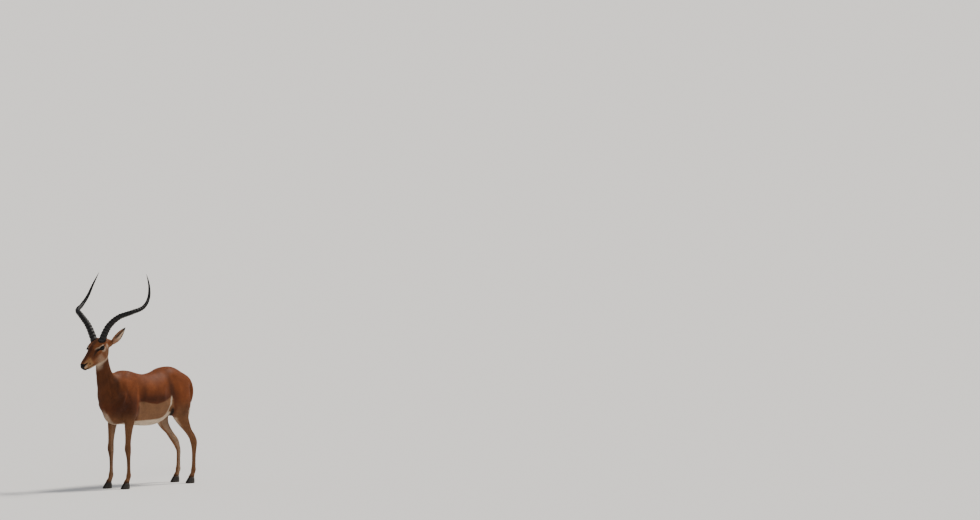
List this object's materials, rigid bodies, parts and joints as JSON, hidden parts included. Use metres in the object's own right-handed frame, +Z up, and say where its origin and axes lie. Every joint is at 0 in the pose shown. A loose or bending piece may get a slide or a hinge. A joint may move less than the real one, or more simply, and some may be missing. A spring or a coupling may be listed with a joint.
{
  "type": "impala antelope",
  "caption": "Life-size still model of a horned male impala antelope standing with its head up, on four cloven hooves.",
  "frame": {"origin": "on the floor under the middle of the animal's bounding box", "axes": "+X towards the animal's left, -Y towards its front, +Z up; the hooves stand on z = 0"},
  "size_m": [0.6294, 1.1512, 1.5832],
  "materials": {
    "coat": "short glossy hair, red-brown above, tan on the flanks, white below",
    "coat_legs": "short tan hair",
    "ear": "thin, short hair, pale inside with a black tip",
    "tail": "long pale hair with a dark middle stripe",
    "horn": "near-black horn, ringed, satin",
    "hoof": "dark horn, satin",
    "eye": "wet, very dark brown"
  },
  "bodies": {
    "root": {"ear_left": "ear", "ear_right": "ear", "eye_left": "eye", "eye_right": "eye", "foreleg_left": "coat_legs", "foreleg_right": "coat_legs", "head": "coat", "hindleg_left": "coat_legs", "hindleg_right": "coat_legs", "hoof_foreleg_left_a": "hoof", "hoof_foreleg_left_b": "hoof", "hoof_foreleg_right_a": "hoof", "hoof_foreleg_right_b": "hoof", "hoof_hindleg_left_a": "hoof", "hoof_hindleg_left_b": "hoof", "hoof_hindleg_right_a": "hoof", "hoof_hindleg_right_b": "hoof", "horn_left": "horn", "horn_right": "horn", "lower_jaw": "coat", "neck": "coat", "tail": "tail", "trunk": "coat"}
  },
  "joints": []
}
